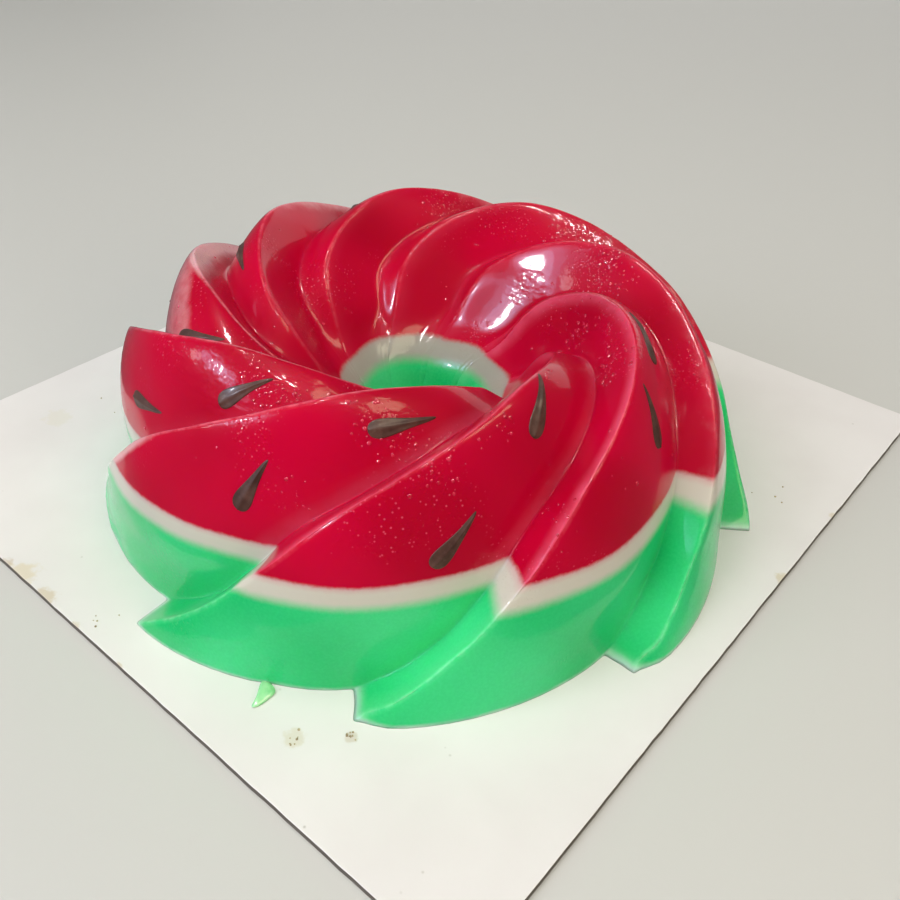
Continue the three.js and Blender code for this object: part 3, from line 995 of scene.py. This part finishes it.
def board_material():
    """White foil-faced card, mottled and stained, with a dark edge that has a greyish core."""
    shade = Shader("board_white")
    height = shade.height()
    mottle = shade.ramp(shade.noise(70.0, 4.0), 0.3, 0.7)
    colour = shade.mix(mottle, srgb(231, 227, 227), srgb(239, 236, 236))
    flecks = shade.ramp(shade.cells(9.0), 0.07, 0.02)
    flecks = shade.times(flecks, shade.ramp(shade.noise(40.0), 0.5, 0.6))
    colour = shade.mix(shade.times(flecks, 0.45), colour, srgb(150, 144, 132))
    ragged = shade.times(shade.stray(3.0, 4.0, 0.6), 1.4)
    for (x, y), size, stain, strength in STAINS:
        share = shade.times(shade.near((x, y, BOARD_TOP), size, ragged), strength)
        colour = shade.mix(share, colour, stain)
    core = shade.ramp(height, 0.7 * MM, 1.0 * MM)
    core = shade.times(core, shade.ramp(height, 1.8 * MM, 1.4 * MM), 0.8)
    card = shade.mix(core, srgb(72, 60, 50), srgb(150, 144, 134))
    colour = shade.mix(shade.ramp(height, 2.42 * MM, 2.25 * MM), colour, card)
    skin = shade.bump(shade.noise(1.2, 2.0), 0.05, 0.2)
    skin = shade.bump(shade.noise(45.0, 2.0), 0.6, 0.25, skin)
    roughness = shade.ramp(shade.noise(30.0), 0.3, 0.7, 0.36, 0.5)
    shade.set(Base_Color=colour, Roughness=roughness, Normal=skin, Specular_IOR_Level=0.35)
    return shade.material


def make_scrap():
    """A thin scrap of pale green jelly left on the board, thickest in its middle."""
    outline = np.array(SCRAP, dtype=float)
    centre = outline.mean(axis=0)
    vertices = []
    for share, lift in SCRAP_LEVELS:
        for x, y in centre + (outline - centre) * share:
            vertices.append((x, y, BOARD_TOP + lift * SCRAP_HEIGHT))
    around = len(outline)
    faces = [list(range(around))] + ring_walls(len(SCRAP_LEVELS), around, clockwise=True)
    faces.append(list(range(len(vertices) - around, len(vertices)))[::-1])
    piece = new_object("jelly_scrap", vertices, faces)
    soften = piece.modifiers.new("soften", "SUBSURF")
    soften.levels = soften.render_levels = 2
    shade = Shader("scrap_green")
    tone = shade.ramp(shade.noise(3.0, 3.0), 0.3, 0.7)
    colour = shade.mix(tone, srgb(140, 222, 150), srgb(176, 236, 178))
    shade.set(Base_Color=colour, Roughness=0.25, IOR=1.36)
    shade.set(Subsurface_Weight=0.5, Subsurface_Radius=(1.5 * MM, 3 * MM, 1.5 * MM))
    shade.set(Subsurface_Scale=1.0)
    shade.set(Coat_Weight=0.8, Coat_Roughness=0.06, Normal=shade.bump(shade.noise(1.5), 0.2, 0.3))
    piece.data.materials.append(shade.material)
    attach(piece, "root")


def crumb_mesh(draw, x, y, size):
    """A small angular crumb resting on the board."""
    vertices = []
    for lift, spread in CRUMB_LEVELS:
        for step in range(CRUMB_SIDES):
            turn = 2 * math.pi * step / CRUMB_SIDES + lift
            reach = size * spread * draw.uniform(0.7, 1.1)
            height = BOARD_TOP + size * lift
            vertices.append((x + reach * math.cos(turn), y + reach * math.sin(turn), height))
    foot = list(range(CRUMB_SIDES))[::-1]
    top = list(range(len(vertices) - CRUMB_SIDES, len(vertices)))
    return vertices, [foot, top] + ring_walls(len(CRUMB_LEVELS), CRUMB_SIDES)


def make_crumbs():
    """A few dry crumbs of jelly and card on the board."""
    draw = random.Random(33)
    vertices = []
    faces = []
    for (x, y), radius, count in CRUMBS:
        for _ in range(count):
            turn = draw.uniform(0, 2 * math.pi)
            reach = radius * draw.uniform(0.15, 1.1)
            place = (x + reach * math.cos(turn), y + reach * math.sin(turn))
            more, corners = crumb_mesh(draw, *place, draw.uniform(0.22, 0.5))
            faces += [[corner + len(vertices) for corner in face] for face in corners]
            vertices += more
    piece = new_object("crumbs", vertices, faces, smooth=False)
    shade = Shader("crumb_brown")
    tone = shade.ramp(shade.noise(1.0, 3.0), 0.3, 0.7)
    colour = shade.mix(tone, srgb(150, 128, 92), srgb(204, 190, 150))
    shade.set(Base_Color=colour, Roughness=0.7)
    shade.set(Normal=shade.bump(shade.noise(0.3), 0.1, 0.5))
    piece.data.materials.append(shade.material)
    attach(piece, "root")


def make_camera():
    """The camera, over the board's front corner and turned down on the jelly."""
    camera = bpy.data.objects.new("camera", bpy.data.cameras.new("camera"))
    bpy.context.scene.collection.objects.link(camera)
    forward = CAMERA_HEADING * math.cos(CAMERA_PITCH) - Vector((0, 0, math.sin(CAMERA_PITCH)))
    level_right = forward.cross(Vector((0, 0, 1))).normalized()
    level_up = level_right.cross(forward)
    right = level_right * math.cos(CAMERA_ROLL) + level_up * math.sin(CAMERA_ROLL)
    up = level_up * math.cos(CAMERA_ROLL) - level_right * math.sin(CAMERA_ROLL)
    turn = Matrix((right, up, -forward)).transposed()
    camera.matrix_world = Matrix.Translation(CAMERA_PLACE) @ turn.to_4x4()
    camera.data.sensor_width = SENSOR_WIDTH
    camera.data.lens = CAMERA_LENS
    camera.data.clip_start = 0.01
    bpy.context.scene.camera = camera


# Soft panels round the jelly: azimuth from +X towards +Y and elevation in degrees, distance
# and size in metres, power in watts, colour, and whether it lights, shines in the wet skin, or both
PANELS = {
    "sky": (-60, 76, 2.0, (2.0, 2.0), 28, (1.0, 0.965, 0.88), "lights"),
    "front_fill": (-108, 36, 1.6, (1.2, 1.2), 13.5, (0.93, 0.97, 1.0), "lights"),
    "right_fill": (-12, 26, 2.0, (0.8, 0.8), 10.5, (1.0, 0.85, 0.6), "lights"),
    "back_wall": (112, 13, 1.9, (2.6, 0.72), 7, (1.0, 0.99, 0.97), "both"),
    "window": (-112, 34, 1.3, (0.08, 0.1), 7, (0.93, 0.98, 1.0), "shines"),
    "window_glow": (-112, 34, 1.4, (0.36, 0.22), 3, (0.42, 0.64, 1.0), "shines"),
    "curtain": (-113, 34.5, 1.45, (0.62, 0.38), 5, (0.42, 0.64, 1.0), "shines"),
    "curtain_edge": (-113, 35, 1.5, (0.95, 0.54), 6, (0.42, 0.64, 1.0), "shines"),
    "side_window": (-131, 24.5, 1.4, (0.2, 0.16), 1.2, (0.98, 0.97, 1.0), "shines"),
    "lamp": (18, 60, 1.3, (0.62, 0.36), 8, (1.0, 0.9, 0.62), "shines"),
    "ceiling_lamp_1": (-100, 74, 1.6, (0.12, 0.1), 2.4, (1.0, 1.0, 1.0), "shines"),
    "ceiling_lamp_2": (-168, 77, 1.6, (0.14, 0.14), 7, (1.0, 1.0, 1.0), "shines"),
    "ceiling_lamp_3": (-27, 75.5, 1.6, (0.12, 0.12), 7, (1.0, 1.0, 1.0), "shines"),
}
PANEL_AIM = Vector((0.016, -0.013, 0.04))
ROOM_COLOUR = (0.86, 0.88, 0.9, 1.0)
ROOM_STRENGTH = 0.14


def add_panel(name, azimuth, elevation, distance, size, power, colour, role):
    """A soft panel light that faces the jelly."""
    lamp = bpy.data.lights.new(name, "AREA")
    lamp.shape = "RECTANGLE"
    lamp.size, lamp.size_y = size
    lamp.energy = power
    lamp.color = colour
    light = bpy.data.objects.new(name, lamp)
    bpy.context.scene.collection.objects.link(light)
    light.visible_camera = False
    light.visible_diffuse = role != "shines"
    light.visible_glossy = role != "lights"
    a = math.radians(azimuth)
    e = math.radians(elevation)
    toward = Vector((math.cos(a) * math.cos(e), math.sin(a) * math.cos(e), math.sin(e)))
    light.location = PANEL_AIM + toward * distance
    light.rotation_mode = "QUATERNION"
    light.rotation_quaternion = toward.to_track_quat("Z", "Y")


def make_lights():
    """The panels, and a faint even light from the room."""
    for name, values in PANELS.items():
        add_panel(name, *values)
    world = bpy.data.worlds.new("room")
    world.use_nodes = True
    background = world.node_tree.nodes["Background"]
    background.inputs["Color"].default_value = ROOM_COLOUR
    background.inputs["Strength"].default_value = ROOM_STRENGTH
    bpy.context.scene.world = world


def make_floor():
    """A plain pale floor."""
    reach = 6000.0
    corners = [(-reach, -reach, 0), (reach, -reach, 0), (reach, reach, 0), (-reach, reach, 0)]
    floor = new_object("floor", corners, [(0, 1, 2, 3)], smooth=False)
    shade = Shader("floor_pale")
    shade.set(Base_Color=srgb(206, 206, 203), Roughness=0.6)
    floor.data.materials.append(shade.material)
    floor.visible_glossy = False


def make_all():
    bpy.context.scene.view_settings.view_transform = "Standard"
    make_camera()
    make_lights()
    make_floor()
    make_board()
    make_scrap()
    make_crumbs()
    jelly = make_jelly()
    tree = BVHTree.FromObject(jelly, bpy.context.evaluated_depsgraph_get())
    make_droplets(tree)
    chocolate = chocolate_material()
    for number in range(len(SEEDS)):
        make_seed(number, tree, chocolate)


make_all()
